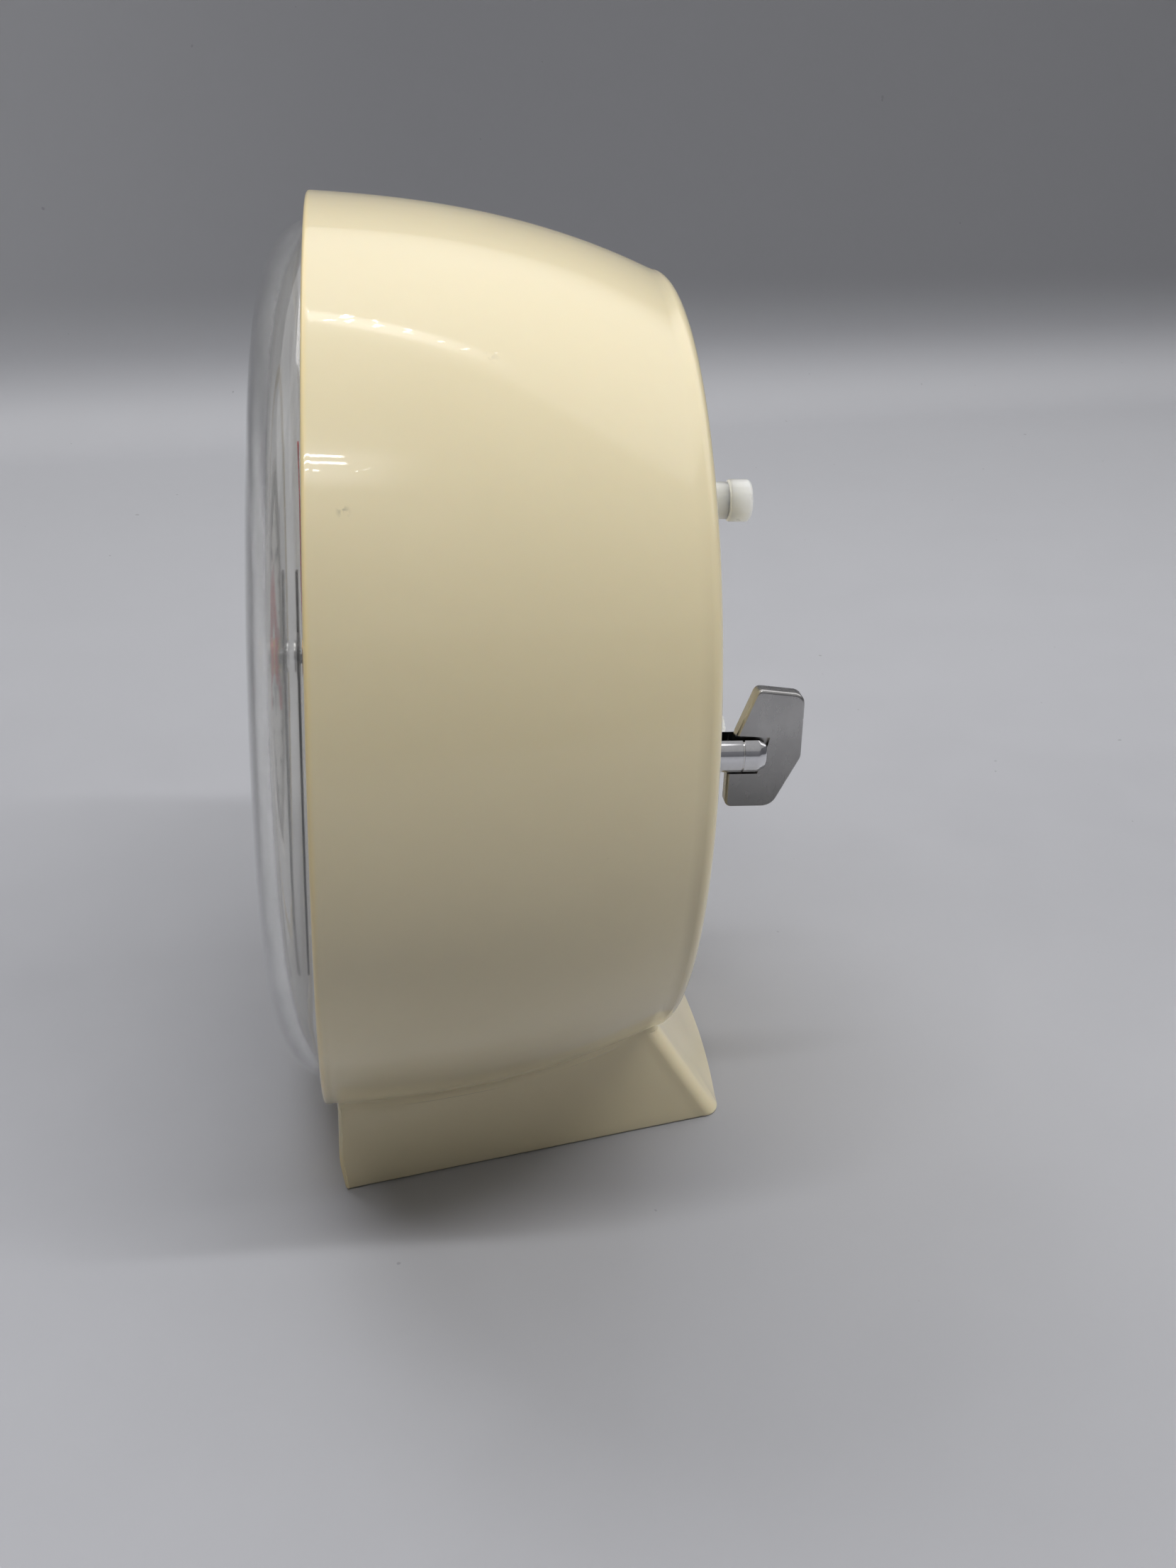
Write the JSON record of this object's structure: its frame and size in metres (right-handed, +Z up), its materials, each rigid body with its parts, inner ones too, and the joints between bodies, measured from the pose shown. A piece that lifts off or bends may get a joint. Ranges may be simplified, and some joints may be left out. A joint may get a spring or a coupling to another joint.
{
  "type": "kitchen timer",
  "caption": "Key-wound kitchen timer: round cream drum on a moulded foot, domed clear lens, spring-driven gear train, bell, folding wing key and rear knobs.",
  "frame": {"origin": "centre of the bounding box in X and Y, at the underside of the foot in Z", "axes": "+Z up, -Y towards the dial and lens, +Y towards the winding key, +X to the right seen from the front"},
  "size_m": [0.1148, 0.0666, 0.1185],
  "materials": {
    "case": "moulded glossy cream plastic, slightly yellowed",
    "lens": "clear moulded acrylic",
    "ring": "bright ring",
    "dial": "silver-white painted dial",
    "hand_black": "black paint",
    "hand_red": "red paint",
    "steel": "plain plated steel",
    "blued_steel": "hardened steel",
    "brass": "stamped brass",
    "chrome": "polished chrome plate",
    "wing": "satin metal with a bright bevelled edge",
    "nylon": "translucent natural nylon"
  },
  "bodies": {
    "case": {"case_shell": "case", "back_cover": "case", "lens": "lens", "dial_ring": "ring", "dial_plate": "dial", "front_plate": "steel", "rear_plate": "steel", "hairspring": "blued_steel", "click_screw": "steel", "click_spring": "blued_steel", "bell": "chrome", "bell_post": "steel", "bell_nut": "steel", "pillar_1": "steel", "pillar_2": "steel", "pillar_3": "steel", "pillar_4": "steel", "cover_post_1": "steel", "cover_post_2": "steel", "cover_post_3": "steel", "cover_post_4": "steel", "cover_screw_1": "steel", "cover_screw_2": "steel", "cover_screw_3": "steel", "cover_screw_4": "steel"},
    "winding_key": {"winding_arbor": "chrome", "ratchet_wheel": "blued_steel", "key_hub": "chrome", "key_pin": "steel"},
    "key_wing": {"key_wing": "wing"},
    "click": {"click": "blued_steel"},
    "barrel": {"spring_barrel": "brass", "great_wheel": "brass", "mainspring": "blued_steel"},
    "centre": {"centre_arbor": "blued_steel", "centre_pinion": "blued_steel", "centre_wheel": "brass", "timer_hand": "hand_black", "hand_cap": "steel"},
    "third": {"third_arbor": "blued_steel", "third_pinion": "blued_steel", "third_wheel": "brass"},
    "escape": {"escape_arbor": "blued_steel", "escape_pinion": "blued_steel", "escape_wheel": "brass"},
    "pallet": {"pallet_arbor": "blued_steel", "pallet_lever": "steel"},
    "balance": {"balance_staff": "blued_steel", "balance_wheel": "brass"},
    "set_hand": {"set_pipe": "brass", "set_wheel": "brass", "set_hand": "hand_red"},
    "set_knob": {"set_arbor": "blued_steel", "set_pinion": "blued_steel", "set_knob": "nylon"},
    "hammer": {"hammer_arbor": "blued_steel", "hammer": "blued_steel"},
    "stop_knob": {"stop_stem": "nylon", "stop_knob": "nylon"}
  },
  "joints": [
    {"name": "winding_key_turn", "type": "hinge", "parent": "case", "child": "winding_key", "pos_m": [0.02, -0.00655, 0.0554], "axis": [0, 1, 0], "range_deg": [-10, 1080]},
    {"name": "key_wing_rock", "type": "hinge", "parent": "winding_key", "child": "key_wing", "pos_m": [0.02, 0.02685, 0.0554], "axis": [1, 0, 0], "range_deg": [-3, 20]},
    {"name": "click_lift", "type": "hinge", "parent": "case", "child": "click", "pos_m": [0.0312, 0.00425, 0.0554], "axis": [0, 1, 0], "range_deg": [0, 5], "stiffness_Nm_per_rad": 0.002, "springref_deg": -5.73},
    {"name": "centre_turn", "type": "hinge", "parent": "case", "child": "centre", "pos_m": [0, -0.00655, 0.061], "axis": [0, 1, 0], "continuous": true},
    {"name": "barrel_turn", "type": "hinge", "parent": "case", "child": "barrel", "pos_m": [0.02, -0.01355, 0.0554], "axis": [0, 1, 0], "continuous": true},
    {"name": "third_turn", "type": "hinge", "parent": "case", "child": "third", "pos_m": [-0.009, -0.00655, 0.07393], "axis": [0, 1, 0], "continuous": true},
    {"name": "escape_turn", "type": "hinge", "parent": "case", "child": "escape", "pos_m": [-0.0195, -0.00655, 0.0666], "axis": [0, 1, 0], "continuous": true},
    {"name": "pallet_rock", "type": "hinge", "parent": "case", "child": "pallet", "pos_m": [-0.0225, -0.01075, 0.0596], "axis": [0, 1, 0], "range_deg": [-1.5, 1.5]},
    {"name": "balance_swing", "type": "hinge", "parent": "case", "child": "balance", "pos_m": [-0.0292, -0.00655, 0.0504], "axis": [0, 1, 0], "range_deg": [-220, 220], "stiffness_Nm_per_rad": 0.000002},
    {"name": "set_knob_turn", "type": "hinge", "parent": "case", "child": "set_knob", "pos_m": [-0.005, 0.02245, 0.0458], "axis": [0, 1, 0], "continuous": true},
    {"name": "set_hand_turn", "type": "hinge", "parent": "case", "child": "set_hand", "pos_m": [0, -0.02195, 0.061], "axis": [0, 1, 0], "continuous": true},
    {"name": "hammer_swing", "type": "hinge", "parent": "case", "child": "hammer", "pos_m": [-0.0038, 0.00745, 0.054], "axis": [0, 1, 0], "range_deg": [-1, 12]},
    {"name": "stop_knob_push", "type": "slide", "parent": "case", "child": "stop_knob", "axis": [0, 1, 0], "range_m": [-0.002, 0]}
  ],
  "couplings": [
    {"joint": "barrel_turn", "follows": "centre_turn", "ratio": -0.22222},
    {"joint": "third_turn", "follows": "centre_turn", "ratio": -6},
    {"joint": "escape_turn", "follows": "centre_turn", "ratio": 42},
    {"joint": "set_hand_turn", "follows": "set_knob_turn", "ratio": -0.33333}
  ]
}
